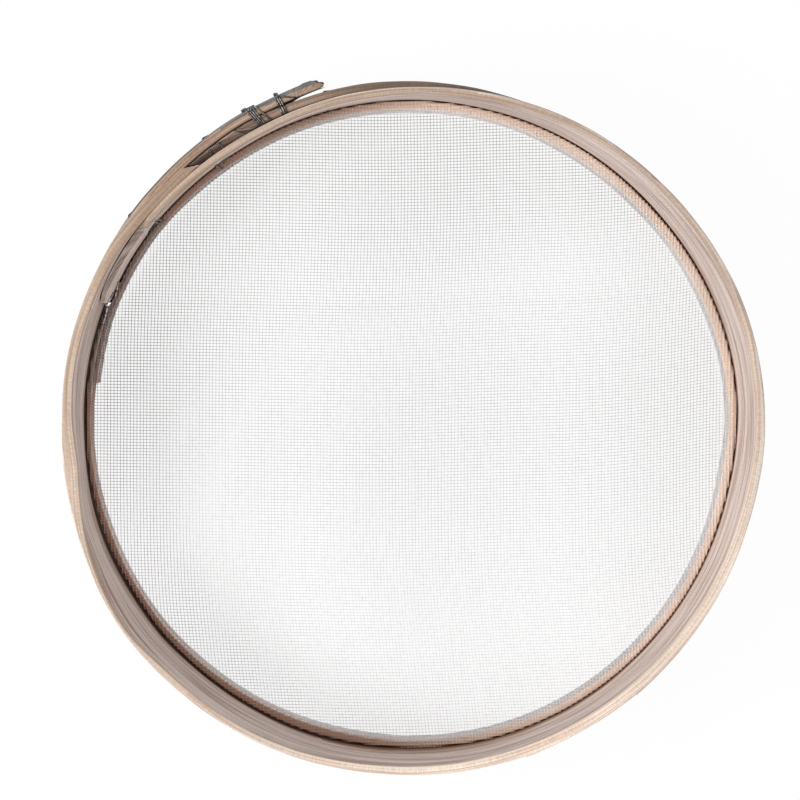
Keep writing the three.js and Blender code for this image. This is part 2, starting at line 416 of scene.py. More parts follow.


# %% Tints of face, edge, shaved wood and painted shade
# Line spacing, line length, wander and tick spacing, in millimetres
grain_sizes = {
    "broad": (5.5, 71, 7.0, 0.5),
    "middle": (1.7, 71, 4.0, 0.5),
    "fine": (0.55, 71, 0.8, 0.55),
    "cracks": (3.4, 15, 3.0, 0.5),
}
# Height at which the painted brown shade at the wall's foot is darkest
shade_foot = 13.5 * MM
knife_slant = 0.45
knife_cells = (30, 900)


def grain_masks(tree, strip, seed):
    titles = ("Line spacing", "Line length", "Wander", "Tick spacing")
    masks = {}
    for grain, sizes in grain_sizes.items():
        inputs = {title: size * MM for title, size in zip(titles, sizes)}
        inputs |= {"Strip": strip, "Seed": seed}
        masks[grain] = put(tree, "ShaderNodeGroup", inputs, node_tree=split_wood).outputs
    return masks


def face_tint(tree, masks, streaks, colours, tone, shade_rise):
    """Streaks, cracks of two lengths, painted light and shade from `tone`, and a painted brown shade at the
    foot, which fades with the height above it.
    """
    colour = blend_colours(tree, spread(tree, streaks, 0.4, 0.56), colours["face line"], colours["face"])
    long_cracks = spread(tree, masks["middle"]["Lines"], 0.3, 0.41, 0.76, 1.0)
    short_cracks = spread(tree, masks["cracks"]["Lines"], 0.27, 0.37, 0.66, 1.0)
    cracks = reckon(tree, "MULTIPLY", long_cracks, short_cracks)
    colour = dimmed(tree, colour, reckon(tree, "MULTIPLY", tone, cracks))
    # Painted shade: the face turns brown just above the cloth and fades upwards
    height = parts_of(tree, object_place(tree))[2]
    risen = reckon(tree, "DIVIDE", reckon(tree, "SUBTRACT", height, shade_foot), shade_rise)
    return blend_colours(tree, spread(tree, risen, 1, 0), colour, colours["painted_shade"], "MULTIPLY")


def edge_tint(tree, masks, colours, edge_darkening):
    lines = mixed(tree, masks["middle"]["Lines"], 0.4, masks["fine"]["Lines"])
    colour = blend_colours(tree, spread(tree, lines, 0.38, 0.58), colours["edge line"], colours["edge"])
    return blend_colours(tree, edge_darkening, colour, colours["darkened edge"], "MULTIPLY")


def shaved_tint(tree, strip, seed, colours):
    """Fine marks of the knife, on the slant; on the ring the same tint gives painted shade."""
    along, across, _ = parts_of(tree, strip)
    slant = reckon(tree, "MULTIPLY_ADD", along, knife_slant, across)
    along = reckon(tree, "MULTIPLY", along, knife_cells[0])
    marks = noise(tree, along, reckon(tree, "MULTIPLY", slant, knife_cells[1]), seed, 3)
    return blend_colours(tree, spread(tree, marks, 0.38, 0.6), colours["shaved line"], colours["shaved"])


print("grains:", *grain_sizes)

# %% Wood finishes
rough_line, rough_wood = 0.76, 0.56
grain_relief = 0.3 * MM
edge_fray = 1.6
# For strips without the painted brown shade at the foot
no_painted_shade = (1.0, 1.0, 1.0, 1.0)


def wood_finish(name, seed, colours):
    """`colours` holds the face, the sawn edge and a shaved place, each with its lines, the colour the edge
    darkens to, and the painted brown shade at the foot of the face, just above the cloth."""
    material, tree, shader = new_finish(name)
    strip = put(tree, "ShaderNodeUVMap", uv_map="grain").outputs[0]
    above, shaved, edge_darkening, tone, shade_rise = (
        put(tree, "ShaderNodeAttribute", attribute_name=title).outputs["Fac"]
        for title in ("above_edge", "shaved", "edge_darkening", "tone", "shade_rise")
    )
    masks = grain_masks(tree, strip, seed)
    fine = masks["fine"]
    streaks = mixed(tree, masks["middle"]["Lines"], 0.45, masks["broad"]["Lines"])
    face = face_tint(tree, masks, streaks, colours, tone, shade_rise)
    edge = edge_tint(tree, masks, colours, edge_darkening)
    wavy = reckon(tree, "MULTIPLY_ADD", masks["middle"]["Patches"], edge_fray, -edge_fray / 2)
    on_edge = spread(tree, reckon(tree, "ADD", above, wavy), -0.15, 0.25)
    colour = blend_colours(tree, on_edge, face, edge)
    # Knife-shaved places, and on the ring painted shade on the inner face at the lap
    colour = blend_colours(tree, shaved, colour, shaved_tint(tree, strip, seed, colours))
    weather = spread(tree, fine["Patches"], 0.3, 0.7, 0.9, 1.05, "LINEAR")
    flecks = spread(tree, fine["Ticks"], 0.35, 0.7, 0.87, 1.1, "LINEAR")
    colour = dimmed(tree, colour, reckon(tree, "MULTIPLY", weather, flecks))
    rough = spread(tree, streaks, 0.3, 0.7, rough_line, rough_wood, "LINEAR")
    relief = reckon(tree, "ADD", streaks, reckon(tree, "MULTIPLY", fine["Lines"], 0.6))
    bump = put(tree, "ShaderNodeBump", {"Height": relief, "Strength": 0.25, "Distance": grain_relief})
    fill_inputs(tree, shader, {"Base Color": colour, "Roughness": rough, "Normal": bump.outputs[0]})
    return material


wall_colours = {
    "face": srgb(222, 205, 196),
    "face line": srgb(172, 146, 132),
    "edge": srgb(240, 223, 208),
    "edge line": srgb(204, 174, 151),
    "darkened edge": (0.52, 0.47, 0.42, 1.0),
    "shaved": srgb(208, 189, 176),
    "shaved line": srgb(132, 110, 97),
    # The brown that the face takes just above the cloth, a painted shade
    "painted_shade": (0.46, 0.29, 0.18, 1.0),
}
band_colours = {
    "face": srgb(122, 117, 114),
    "face line": srgb(92, 86, 83),
    "edge": srgb(210, 182, 156),
    "edge line": srgb(132, 103, 85),
    "darkened edge": (0.38, 0.37, 0.37, 1.0),
    "shaved": srgb(206, 190, 178),
    "shaved line": srgb(140, 122, 112),
    "painted_shade": no_painted_shade,
}
# On the ring the shaved colours and the darkened edge colour are painted shade
ring_colours = {
    "face": srgb(248, 243, 241),
    "face line": srgb(222, 212, 209),
    "edge": srgb(255, 239, 223),
    "edge line": srgb(243, 215, 193),
    "darkened edge": (0.35, 0.225, 0.165, 1.0),
    "shaved": srgb(132, 104, 94),
    "shaved line": srgb(98, 74, 66),
    "painted_shade": no_painted_shade,
}
wall_wood = wood_finish("wall_wood", 3.0, wall_colours)
band_wood = wood_finish("band_wood", 17.0, band_colours)
ring_wood = wood_finish("ring_wood", 29.0, ring_colours)
print("wood finishes:", wall_wood.name, band_wood.name, ring_wood.name)

# %% [markdown]
# ## The wall hoop
#
# The wall is one strip about 93 cm long and 58 mm tall. Its inner end is shaved thin and lies inside its
# own outer end, which is cut on the slant. Wood springs: the foot is held round by the band and the ring,
# but the rim wanders by a few millimetres, and its edge was trimmed by hand, so its width varies. A plain
# cylinder would look turned on a lathe, so both are measured round the rim and fade out towards the foot.

# %% Wall sizes
wall_inside = 135.2
wall_thickness = 3.4
wall_tip = 1.8
wall_start = 158.0
wall_lap = 29.0
wall_bevel = 2.3
end_thickness = 2.9
layer_gap = 0.3
wall_turn = 360 + wall_lap
wall_inner = runs(
    [
        (0, wall_inside),
        (wall_lap, wall_inside),
        (360, wall_inside + wall_tip + layer_gap),
        (wall_turn, wall_inside + wall_thickness + layer_gap),
    ]
)
wall_depth = runs([(0, wall_tip), (wall_lap, wall_thickness)])
# How much the slanted cut takes off the outer end
end_cut = runs([(wall_turn - wall_bevel, 0), (wall_turn, end_thickness)])
# The inner face was shaved by hand too: how far it wanders out at the foot
foot_wander = eased(
    [
        (0, 0.85), (15, 0.95), (26, 0.5), (45, 0.3), (58, 0.15), (70, 0.0), (84, -0.35), (98, -0.3),
        (113, -0.6), (123, -0.2), (133, 0.35), (145, 0.75), (153, 0.6), (160, 0.1), (172, -0.6),
        (185, -0.35), (198, -0.3), (210, 0.0), (233, 0.45), (246, 0.15), (254, 0.35), (263, 0.7),
        (268, 0.75), (280, 0.25), (288, 0.25), (298, 0.7), (306, 0.45), (318, 0.85), (328, 0.55),
        (338, 0.1), (348, 0.35), (358, 0.55), (wall_turn, 0.55),
    ]
)
print(f"wall: {math.radians(wall_turn) * (wall_inside + wall_thickness / 2):.0f} mm of strip")

# %% Rim
rim_outer = eased(
    [
        (0, 137.6), (3, 138.1), (7, 137.95), (11, 137.4), (15, 136.8), (20, 136.4), (27, 136.2),
        (38, 135.9), (48, 136.4), (68, 137.4), (78, 137.9), (84, 138.5), (98, 139.5), (118, 140.5),
        (138, 141.6), (158, 141.2), (172, 140.2), (188, 139.7), (218, 139.4), (248, 139.3), (278, 141.1),
        (290, 141.5), (303, 142.5), (318, 141.7), (338, 141.3), (350, 141.9), (364, 142.15), (370, 142.45),
        (376, 141.75), (wall_turn, 139.4),
    ]
)
rim_width = eased(
    [
        (0, 0.4), (4, 0.3), (12, 0.3), (16, 0.9), (20, 1.8), (27, 2.3), (38, 2.7), (60, 2.8), (118, 2.6),
        (138, 3.2), (158, 3.8), (188, 4.2), (218, 4.0), (248, 3.4), (278, 2.6), (293, 2.8), (304, 1.3),
        (314, 1.7), (323, 3.5), (328, 5.0), (332, 5.7), (336, 5.1), (341, 4.1), (350, 3.8), (364, 3.9),
        (370, 4.5), (376, 4.95), (380, 4.65), (387, 3.3), (wall_turn, 3.15),
    ]
)
rim_thickness = runs(
    [(0, wall_tip), (wall_lap, wall_thickness), (370, wall_thickness), (wall_turn, end_thickness)]
)
# The knife's cut at the inner end: how far it takes the upper edge down, how far its facet reaches, and
# where it ends
end_drop = eased(
    [
        (0, 18.0), (1.5, 14.0), (3, 12.5), (7, 11.0), (11, 8.0), (14, 3.5), (17, 0.4), (20, 0.0),
        (wall_turn, 0.0),
    ]
)
facet_depth = eased(
    [(0, 2.5), (5, 6.5), (12, 5.0), (16, 1.5), (20, 1.0), (40, 3.0), (300, 6.0), (wall_turn, 4.0)]
)
facet_share = runs([(0, 1), (14, 1), (17, 0)], unit=1)
print(f"rim: {rim_width(218) / MM:.1f} mm wide on the near side")

# %% Colour along the wall
# How far the sawn, tan colour of the rim runs down the inner face
rim_colour_depth = eased(
    [
        (0, 0.0), (13, 0.0), (17, 4.0), (21, 3.0), (27, 1.5), (38, 1.0), (60, 1.0), (118, 0.2), (158, 1.5),
        (218, 2.0), (248, 0.5), (300, 0.2), (316, 0.5), (323, 2.0), (332, 3.0), (341, 2.0), (350, 0.3),
        (wall_turn, 0.3),
    ]
)
# How far its outer corner has gone grey
rim_grey = runs(
    [
        (0, 0), (30, 0), (60, 0.5), (98, 1.1), (128, 1.4), (158, 1.3), (185, 0.9), (200, 0.3), (250, 0.35),
        (290, 0.6), (335, 0.4), (345, 0),
    ]
)
# The rim's edge is lighter on the near side and darker and browner towards the laps
rim_edge_darkening = eased(
    [
        (0, 0.7), (30, 0.92), (60, 0.92), (100, 0.85), (128, 0.83), (140, 0.52), (158, 0.25), (185, 0.05),
        (210, -0.08), (226, -0.08), (240, 0.05), (262, 0.3), (280, 0.5), (300, 0.55), (330, 0.65),
        (345, 0.8), (360, 0.92), (370, 1.0), (380, 1.2), (wall_turn, 1.25),
    ],
    unit=1,
)
# Painted light and shade on the inner face, lightest at the inner end, which lies in shade
wall_painted_light = eased(
    [
        (0, 1.3), (30, 1.32), (50, 1.25), (80, 1.02), (98, 0.95), (128, 0.94), (158, 1.03), (188, 1.06),
        (218, 1.0), (248, 1.06), (278, 0.98), (308, 0.98), (336, 1.08), (355, 1.04), (wall_turn, 1.1),
    ],
    unit=1,
)
# How far up the wall's foot a painted brown shade reaches above the cloth
wall_shade_rise = eased(
    [
        (0, 2.5), (30, 2.0), (150, 2.5), (200, 3.5), (220, 7.0), (235, 14.0), (248, 17.0), (258, 11.0),
        (268, 5.0), (290, 3.5), (320, 2.5), (350, 2.5), (wall_turn, 2.5),
    ]
)
wall_looks = {"edge_darkening": rim_edge_darkening, "tone": wall_painted_light, "shade_rise": wall_shade_rise}
# Strips that have no painted light or shade on the face
plain_looks = {"tone": lambda turn: 1.0, "shade_rise": lambda turn: 1 * MM}
print(f"stain: up to {max(wall_shade_rise(turn) for turn in range(360)) / MM:.0f} mm above the cloth")

# %% Wall hoop
lean_power = 1.6
smooth_foot = 20 * MM
least_rim = 0.2 * MM
strip_corner = 0.4 * MM
rim_dips = 0.25 * MM
wall_waves = 0.12 * MM
facet_margin = 0.1 * MM


def wall_faces(turn):
    """Radius of the inner and of the outer face as functions of the height, with the levels of the upper
    edge and of its facet, and the middle of the rim."""
    cut = end_cut(turn)
    inner, depth = wall_inner(turn), wall_depth(turn) - cut
    foot = inner + foot_wander(turn)
    rim_out, width = rim_outer(turn) - cut, max(rim_width(turn) - cut, least_rim)
    rim_in = rim_out - max(width, rim_thickness(turn) - cut)
    top = wall_height - end_drop(turn) - abs(unevenness(turn, 0.3, rim_dips))
    knee = top - facet_depth(turn)

    def at(z, low, high):
        uneven = unevenness(turn, z, wall_waves) * smooth_share(z, 0, smooth_foot)
        return low + (high - low) * max(z / wall_height, 0) ** lean_power + uneven

    def inside_at(z):
        return at(z, foot, rim_in) + max(depth - width, 0) * clipped_share(z, knee, top)

    def outside_at(z):
        return at(z, inner + depth, rim_out)

    return inside_at, outside_at, top, knee, rim_out - 0.5 * width


def wall_section(turn):
    inside_at, outside_at, top, knee, rim_middle = wall_faces(turn)
    down, grey, facet = rim_colour_depth(turn), rim_grey(turn), facet_share(turn)
    section = []
    for r, z, above in section_outline(inside_at, outside_at, 0.0, top, strip_corner, knee):
        if r < rim_middle:
            above += down
        elif r > outside_at(z) - grey:
            above = min(above, 0)
        on_facet = z > knee and r < outside_at(z) - facet_margin
        section.append((r, z, above, facet if on_facet else 0.0))
    return section


wall_turns = strip_turns(wall_turn, (0, 18), (wall_turn - 3, wall_turn))
wall_mesh = skin_strip("wall_strip", wall_start, wall_turns, wall_section, wall_looks)
wall_mesh.materials.append(wall_wood)
add_piece("wall_strip", wall_mesh, "wall_wood", "wall_hoop")

# %% [markdown]
# ## The clamp band
#
# The band is a low strip that draws the foot of the wall tight. Its inner end was thinned with a knife and
# lies against the wall. Its outer end was snapped off, not sawn, so every fibre stops at its own place and
# the end springs away from the layer under it. Moving the rows of the first and last sections along by
# different amounts gives the slanted and the torn end without a boolean cut.

# %% Band sizes
band_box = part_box("clamp_band")
band_bottom, band_top = band_box[0].z, band_box[1].z
band_thickness = 3.0
band_setback = 0.5
band_offset = wall_lap + band_setback
band_start = wall_start - band_offset
band_lap = 23.0
band_turn = 360 + band_lap
band_shave = 9.5
tie_room = 1.2
inner_room = 0.7
band_slack = runs([(30, inner_room), (54, 0.1)])
band_depth = runs(
    [
        (0, 2.9), (band_shave, 3.5), (30, 3.5), (60, 2.7), (300, 3.0), (330, 3.8), (338, 4.6), (345, 4.6),
        (352, 4.3), (band_turn, 4.3),
    ]
)
# The knife's facet at the inner end: its upper edge, and how far down it starts
facet_start, facet_end = 8.4, 9.6
facet_step = 10.4
band_upper = runs([(0, 19.5), (facet_start, 20.5), (facet_end, 21.6), (facet_step, 22)])
band_knee = runs([(0, 9), (facet_start, 12.5), (facet_end, 18), (facet_step, 20)])
# Where the outer end broke, its lower part came away sooner than its upper edge
band_lower = runs([(377.5, 2), (379.5, 14), (band_turn, 18)])
# The outer side has gone grey: how far over the upper edge the grey reaches, and how far that is worn off
band_grey = runs([(0, 0.4), (340, 0.5), (366, 1.4), (374, 2.2), (band_turn, 2.2)])
band_wear = runs([(0, 0.16), (340, 0.2), (366, 0.44), (374, 0.64), (band_turn, 0.76)])
wear_height = 2 * MM
# Grey weathering on the band's upper edge, with painted shade where the wall shades it near the inner end
band_edge_grey_and_shade = eased(
    [
        (0, 0.3), (6, 0.5), (8.5, 1.0), (11, 1.0), (14, 0.72), (20, 0.75), (28, 1.0), (60, 1.0), (120, 0.3),
        (300, 0.2), (350, 0.3), (366, 0.4), (376, 0.48), (381, 0.7), (band_turn, 0.95),
    ],
    unit=1,
)


def wall_face(turn):
    """Radius of the wall's outer face at its foot."""
    place = turn % 360
    return wall_inner(place + 360 if place <= wall_lap else place) + wall_thickness * MM


def band_inner(turn):
    return wall_face(turn + band_offset) + band_slack(turn)


def band_over(turn):
    return wall_face(turn + band_offset) + (tie_room + band_thickness + layer_gap) * MM


step_off = 360 - band_setback
band_outer_lap = runs(
    [
        (step_off, band_inner(step_off)),
        (360 + band_shave, band_over(band_shave)),
        (band_turn, band_over(band_lap)),
    ],
    unit=1,
)
spring_start = 373
band_spring = 1.35 * MM
spring_power = 1.3


def band_inside(turn):
    spring = band_spring * clipped_share(turn, spring_start, band_turn) ** spring_power
    return (band_inner(turn) if turn <= step_off else band_outer_lap(turn)) + spring


def band_outside(turn):
    return band_inside(turn) + band_depth(turn)


print(f"band: {math.radians(band_turn) * band_inside(180) / MM:.0f} mm of strip")

# %% Clamp band
shaved_end = 8.2
facet_tip = 0.4 * MM
top_dips = 0.3 * MM
inner_waves, outer_waves = 0.08 * MM, 0.12 * MM
grey_level = -1 * MM
torn_length = 7.0
# In degrees: how far the slant reaches, where the facet's step is, and how far it and its tear reach
slant_reach = 4.5
step_place, step_reach, tear_reach = 9.3, 4.2, 1.2


def band_section(turn):
    inner, outer = band_inside(turn), band_outside(turn)
    top = band_upper(turn) - abs(unevenness(turn, 0.7, top_dips))
    knee = min(band_knee(turn), top - 2 * MM)
    facet = (outer - inner - facet_tip) * (1 - clipped_share(turn, facet_start, facet_end))

    def inside_at(z):
        return inner + unevenness(turn, z, inner_waves) + facet * clipped_share(z, knee, top)

    def outside_at(z):
        worn = band_wear(turn) * clipped_share(z, top - wear_height, top)
        return outer + unevenness(turn, z + 0.02, outer_waves) - worn

    outline = section_outline(inside_at, outside_at, band_lower(turn), top, strip_corner, knee)
    shaved = 1.0 if turn < shaved_end else 0.0
    grey = outer - band_grey(turn)
    return [(r, z, grey_level if r > grey else above, shaved) for r, z, above in outline]


def band_ends(turn, row, point):
    """Degrees that a point moves along: the inner end follows the slanted cut of the wall, the step after
    its facet and the outer end are torn."""
    radius = point[0]
    across = clipped_share(radius - band_inside(turn), 0, band_depth(turn))
    fibre = math.sin(1900 * radius + 2.1 * row) + 0.7 * math.sin(5.3 * row + 0.9)
    if turn < band_lap:
        from_step = abs(turn - step_place)
        slant = -(0.5 + 1.7 * across) * (1 - clipped_share(turn, 0, slant_reach))
        step = (0.9 - 2.4 * across) * max(1 - from_step / step_reach, 0)
        return slant + step + 0.25 * fibre * max(1 - from_step / tear_reach, 0)
    loose = clipped_share(turn, band_turn - torn_length, band_turn) ** 2
    return loose * (0.6 - 2.2 * across ** 3 + 0.45 * fibre)


band_turns = strip_turns(band_turn, (0, 12), (band_turn - 6, band_turn))
band_looks = {**plain_looks, "edge_darkening": band_edge_grey_and_shade}
band_mesh = skin_strip("band_strip", band_start, band_turns, band_section, band_looks, band_ends)
band_mesh.materials.append(band_wood)
add_piece("band_strip", band_mesh, "band_wood", "clamp_band")

# %% [markdown]
# ## The cloth ring
#
# The ring is the strip that the cloth is drawn over. It has a square inner end and a long feathered outer
# end that lies outside it. Its upper inner edge is rounded, so that it doesn't cut the wires. It could be
# a plain hoop with a step, but it was split by hand, and its wander shows against the white ground, so its
# inner radius is measured. Its outer face takes its radius from the cloth that is pinched behind it.

# %% Ring sizes
ring_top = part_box("cloth_ring")[1].z
ring_lead = 14.5
ring_start = wall_start + ring_lead
ring_lap = 27.0
ring_settle = 6.0
ring_turn = 360 + ring_lap + ring_settle
ring_inner = eased(
    [
        (0, 132.6), (7, 133.0), (12.5, 133.4), (20, 133.3), (27.5, 133.3), (32.5, 132.95), (40, 132.2),
        (52.5, 131.75), (62.5, 131.6), (70, 131.1), (80, 130.9), (100, 130.75), (112, 130.25), (126, 130.2),
        (137, 131.0), (150, 131.65), (165, 132.7), (171, 132.7), (182, 131.5), (192, 131.85), (202, 132.1),
        (212, 132.4), (225, 132.95), (242, 133.35), (262, 133.3), (272, 133.0), (282, 133.2), (292, 133.5),
        (302, 133.6), (314, 134.0), (332, 133.95), (345, 134.4), (360, 134.3),
    ]
)
# Its outer end thins to nothing outside its inner end: the share of the whole depth that the latter takes
ring_split = runs([(0, 0.55), (14, 0.6), (ring_lap, 0.9), (ring_lap + ring_settle, 0.99)], unit=1)
# Painted shade on the ring's upper edge, darkest on the left, where the wall shades it
ring_edge_painted_shade = eased(
    [
        (0, 0.9), (4, 1.0), (18, 0.98), (29, 0.8), (36, 0.7), (60, 0.35), (85, 0.1), (115, 0.0), (205, 0.05),
        (232, 0.3), (262, 0.55), (292, 0.9), (325, 1.0), (352, 0.88), (ring_turn, 0.85),
    ],
    unit=1,
)
# Painted shade on the inner face, darker on the right, standing in for the wires' shadows there
ring_face_painted_shade = eased(
    [
        (0, 0.95), (90, 0.95), (120, 0.84), (160, 0.76), (240, 0.72), (262, 0.86), (277, 0.95), (292, 0.88),
        (322, 0.97), (ring_turn, 0.95),
    ],
    unit=1,
)
# Where the inner face takes the shaved colours as painted shade, strongest at the lap
ring_lap_painted_shade = runs([(0, 1), (45, 0.9), (75, 0), (335, 0), (352, 0.7), (360, 1)], unit=1)
ring_looks = {**plain_looks, "edge_darkening": ring_edge_painted_shade, "tone": ring_face_painted_shade}
# The cloth is held close to the wall, and steps in just before the wall's inner end
draw_start, draw_end = 359.0, 359.85
cloth_gap = eased(
    [
        (0, 0.64), (60, 0.54), (100, 0.42), (158, 0.36), (205, 0.4), (235, 0.6), (248, 0.8), (265, 1.05),
        (280, 0.95), (298, 1.2), (318, 1.35), (330, 1.2), (340, 0.95), (357, 1.1), (360, 0.64),
    ]
)


def cloth_seat(turn):
    """Radius of the cloth's bend, in a direction given as a turn of the wall."""
    step = clipped_share(turn, draw_start, draw_end)
    held = wall_inner(turn) * (1 - step) + wall_inside * MM * step
    return held + foot_wander(turn) - cloth_gap(turn)


print(f"ring: {math.radians(ring_turn) * ring_inner(180) / MM:.0f} mm of strip")

# %% Cloth ring
ring_play = 0.2 * MM
feather_gap = 0.08 * MM
feather_edge = 0.04 * MM
ring_corner = 0.6 * MM
end_slack = 0.3


def ring_faces(turn):
    full = cloth_seat((turn - ring_lead) % 360) - ring_play
    if turn >= 360:
        inside = ring_faces(turn - 360)[1] + feather_gap
        return inside, max(full, inside + feather_edge)
    inner = ring_inner(turn)
    if turn < ring_lap + ring_settle:
        return inner, inner + (full - inner) * ring_split(turn)
    return inner, full


def ring_section(turn):
    inner, outer = ring_faces(turn)
    outline = section_outline(lambda z: inner, lambda z: outer, 0.0, ring_top, ring_corner)
    lap_shade = ring_lap_painted_shade(turn)
    # The inner face takes the shaved colours as painted shade
    return [(r, z, above, lap_shade if above < 0 else 0.0) for r, z, above in outline]


ring_turns = strip_turns(ring_turn - end_slack, (9, 17), (360 + 9, 360 + 17))
ring_mesh = skin_strip("ring_strip", ring_start, ring_turns, ring_section, ring_looks)
ring_mesh.materials.append(ring_wood)
add_piece("ring_strip", ring_mesh, "ring_wood", "cloth_ring")

# %% [markdown]
# ## Finishes: wire
#
# The cloth is galvanized, the ties and staples are annealed and dull, and the tails of the first stitch
# still have bright rubbed places. One group gives all of them a tarnish mask from Object coordinates, and
# the materials set how dark and rough the tarnish is. The cloth's own finish makes it duller towards the
# laps and in the middle but keeps it bright on the left as painted light where the wall's shadow falls,
# gives the wires on the ring painted shade on the left and a painted reflection of the wood on the right,
# and puts painted shade on the wires that dip into the gap by the wall.


# %% Wire finishes
def tarnish_group():
    inputs = {"Place": "Vector", "Patch size": "Float"}
    tree, given, result = new_group("wire_tarnish", "ShaderNodeTree", inputs, {"Tarnish": "Float"})
    scale = reckon(tree, "DIVIDE", 1.0, given["Patch size"])
    inputs = {"Vector": given["Place"], "Scale": scale, "Detail": 3.0, "Roughness": 0.6}
    mask = put(tree, "ShaderNodeTexNoise", inputs).outputs["Fac"]
    fill_inputs(tree, result, {"Tarnish": spread(tree, mask, 0.38, 0.66)})
    return tree


wire_tarnish = tarnish_group()


def wire_finish(name, bright, dull, patch, metal, rough_bright, rough_dull):
    material, tree, shader = new_finish(name)
    inputs = {"Place": object_place(tree), "Patch size": patch}
    mask = put(tree, "ShaderNodeGroup", inputs, node_tree=wire_tarnish).outputs[0]
    colour = blend_colours(tree, mask, bright, dull)
    rough = spread(tree, mask, 0, 1, rough_bright, rough_dull, "LINEAR")
    fill_inputs(tree, shader, {"Base Color": colour, "Roughness": rough, "Metallic": metal})
    return material


tie_wire = wire_finish("tie_wire", srgb(112, 110, 109), srgb(40, 37, 36), 1.6 * MM, 0.9, 0.26, 0.42)
tail_wire = wire_finish("tail_wire", srgb(208, 207, 205), srgb(26, 24, 23), 1.1 * MM, 0.95, 0.16, 0.4)
staple_wire = wire_finish("staple_wire", srgb(62, 61, 62), srgb(24, 22, 22), 1.6 * MM, 0.9, 0.3, 0.5)
print("wire finishes:", tie_wire.name, tail_wire.name, staple_wire.name)


# %% Cloth finish
laps_way = (-0.35, 0.94)
lap_dullness, middle_dullness = 0.39, 0.235
# Radii where dullness fades and the ring's painted tint comes in, and heights of the gap's painted shade
dull_until = (128 * MM, 131 * MM)
ring_tint_from = (131.5 * MM, 133.3 * MM)
gap_shade_below = (13.62 * MM, 13.42 * MM)


def cloth_dullness(tree, x, y, radius):
    """Duller towards the laps and in the middle, and bright along the ring; left of -90 mm, where the wall's
    shadow falls, the wires are left undulled as painted light.
    """
    towards_laps = reckon(tree, "MULTIPLY_ADD", x, laps_way[0], reckon(tree, "MULTIPLY", y, laps_way[1]))
    dull = spread(tree, towards_laps, -15 * MM, 85 * MM, 0.0, lap_dullness)
    # Painted light: no dulling left of -90 mm, where the wall's shadow falls on the wires
    dull_but_painted_lit_left = spread(tree, x, -90 * MM, -58 * MM, 0.0, middle_dullness)
    dull_but_painted_lit_left = reckon(tree, "MULTIPLY", dull_but_painted_lit_left, spread(tree, y, -98 * MM, -42 * MM, 0.1, 1.0))
    dull = reckon(tree, "MAXIMUM", dull, dull_but_painted_lit_left)
    return reckon(tree, "MULTIPLY", dull, spread(tree, radius, *dull_until, 1.0, 0.0))


def ring_wire_painted_light(tree, x, y, colours):
    """Colour of the wires on the ring: a painted reflection of the pale wood on the right, painted shade on
    the left, grey on the ring's lap.
    """
    lit_side = spread(tree, x, -30 * MM, 25 * MM)
    painted_shade = blend_colours(tree, lit_side, colours["ring painted shade"], colours["ring painted reflection"])
    lap = spread(tree, x, -98 * MM, -110 * MM)
    lap = reckon(tree, "MULTIPLY", lap, spread(tree, y, 8 * MM, 22 * MM))
    return blend_colours(tree, lap, painted_shade, colours["ring lap"])


def cloth_finish(name, colours):
    material = wire_finish(name, colours["fresh"], colours["worn"], 2 * MM, 0.35, 0.38, 0.5)
    tree = material.node_tree
    shader = tree.nodes["Principled BSDF"]
    colour = shader.inputs["Base Color"].links[0].from_socket
    x, y, z = parts_of(tree, object_place(tree))
    flat = put(tree, "ShaderNodeCombineXYZ", {0: x, 1: y}).outputs[0]
    radius = put(tree, "ShaderNodeVectorMath", {0: flat}, operation="LENGTH").outputs["Value"]
    colour = dimmed(tree, colour, reckon(tree, "SUBTRACT", 1.0, cloth_dullness(tree, x, y, radius)))
    # Painted shade and painted reflection on the wires over the ring
    on_ring = spread(tree, radius, *ring_tint_from)
    colour = blend_colours(tree, on_ring, colour, ring_wire_painted_light(tree, x, y, colours))
    # Painted shade on the wires that dip into the gap by the wall
    colour = blend_colours(tree, spread(tree, z, *gap_shade_below), colour, colours["gap painted shade"])
    fill_inputs(tree, shader, {"Base Color": colour})
    return material


cloth_colours = {
    "fresh": srgb(236, 236, 237),
    "worn": srgb(224, 224, 225),
    # Wires over the ring: a painted reflection of the pale wood, and painted shade on the left
    "ring painted reflection": srgb(238, 220, 208),
    "ring painted shade": srgb(200, 160, 143),
    "ring lap": srgb(168, 160, 158),
    # Dark brown for the wires in the gap, a painted shade
    "gap painted shade": srgb(84, 44, 29),
}
cloth_wire = cloth_finish("cloth_wire", cloth_colours)
print("cloth finish:", len(cloth_wire.node_tree.nodes), "nodes")

# %% [markdown]
# ## The wire cloth
#
# About two hundred wires run each way, one over and one under. They could be instanced straight wires,
# but real cloth never lies square: it was pulled over the ring by hand, so the wires bow. A node tree
# makes a grid with one point at each crossing, moves the crossings, lifts or lowers each point for the
# weave, bends what lies past the ring down its outer side, keeps the grid's edges that run one way and
# sweeps a round section along them. Both ways share the crossings, so over and under always match.


# %% Helpers for Geometry Nodes
def curve_of(tree, share, points, straight=False):
    """A Float Curve through points given as shares of both ranges."""
    made = put(tree, "ShaderNodeFloatCurve", {"Value": share})
    line = made.mapping.curves[0]
    for x, y in points[1:-1]:
        line.points.new(x, y)
    line.points[0].location = points[0]
    line.points[len(points) - 1].location = points[-1]
    if straight:
        for point in line.points:
            point.handle_type = "VECTOR"
    made.mapping.update()
    return made.outputs[0]


def is_more(tree, value, limit):
    inputs = {"A": value, "B": limit}
    return put(tree, "FunctionNodeCompare", inputs, data_type="FLOAT", operation="GREATER_THAN").outputs[0]


def logic(tree, operation, first, second):
    return put(tree, "FunctionNodeBooleanMath", {0: first, 1: second}, operation=operation).outputs[0]


def choose(tree, switch, no, yes):
    inputs = {"Switch": switch, "False": no, "True": yes}
    return put(tree, "GeometryNodeSwitch", inputs, input_type="FLOAT").outputs[0]


